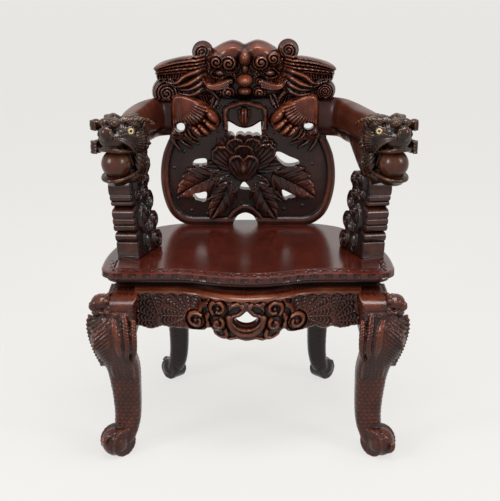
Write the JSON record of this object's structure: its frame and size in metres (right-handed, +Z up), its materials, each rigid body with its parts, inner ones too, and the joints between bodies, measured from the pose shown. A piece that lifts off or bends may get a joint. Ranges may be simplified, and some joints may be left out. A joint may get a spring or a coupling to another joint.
{
  "type": "horseshoe back armchair",
  "caption": "Carved hardwood armchair with a pierced peony back, beast mask crest, dragon head arms holding balls, cloud scroll arm supports and scrolled cabriole legs.",
  "frame": {"origin": "on the floor under the middle of the chair", "axes": "+Z up, the sitter faces -Y, +X to the right as seen from the front"},
  "size_m": [0.7642, 0.5612, 0.9354],
  "materials": {
    "carved_hardwood": "gloss",
    "seat_hardwood": "gloss",
    "inner_wood": "matte",
    "pearl_hardwood": "gloss",
    "bone": "satin",
    "horn": "gloss",
    "brass": "satin"
  },
  "bodies": {
    "frame": {"apron_front": "carved_hardwood", "apron_left": "carved_hardwood", "apron_right": "carved_hardwood", "apron_rear": "carved_hardwood", "leg_front_left": "carved_hardwood", "leg_front_right": "carved_hardwood", "leg_rear_left": "carved_hardwood", "leg_rear_right": "carved_hardwood", "back_splat": "carved_hardwood", "crest_rail": "carved_hardwood", "mane_left": "carved_hardwood", "mane_right": "carved_hardwood", "paw_left": "carved_hardwood", "paw_right": "carved_hardwood", "arm_left": "carved_hardwood", "arm_right": "carved_hardwood", "arm_support_left": "carved_hardwood", "arm_support_right": "carved_hardwood", "dragon_head_left": "carved_hardwood", "dragon_head_right": "carved_hardwood", "moulding_front": "carved_hardwood", "moulding_rear": "carved_hardwood", "moulding_left": "carved_hardwood", "moulding_right": "carved_hardwood", "seat_board": "seat_hardwood", "seat_batten_front": "inner_wood", "seat_batten_rear": "inner_wood", "corner_blocks": "inner_wood", "crest_dowels": "inner_wood", "arm_dowels_left": "inner_wood", "arm_dowels_right": "inner_wood", "neck_dowel_left": "inner_wood", "neck_dowel_right": "inner_wood", "support_dowels_left": "inner_wood", "support_dowels_right": "inner_wood", "eyes_left": "bone", "eyes_right": "bone", "pupils_left": "horn", "pupils_right": "horn", "seat_batten_screws": "brass", "corner_block_screws": "brass"},
    "left_ball": {"pearl_left": "pearl_hardwood"},
    "right_ball": {"pearl_right": "pearl_hardwood"}
  },
  "joints": [
    {"name": "left_pearl_roll", "type": "hinge", "parent": "frame", "child": "left_ball", "pos_m": [-0.30224, -0.14585, 0.691], "axis": [1, 0, 0], "continuous": true},
    {"name": "right_pearl_roll", "type": "hinge", "parent": "frame", "child": "right_ball", "pos_m": [0.33424, -0.14585, 0.691], "axis": [1, 0, 0], "continuous": true}
  ]
}
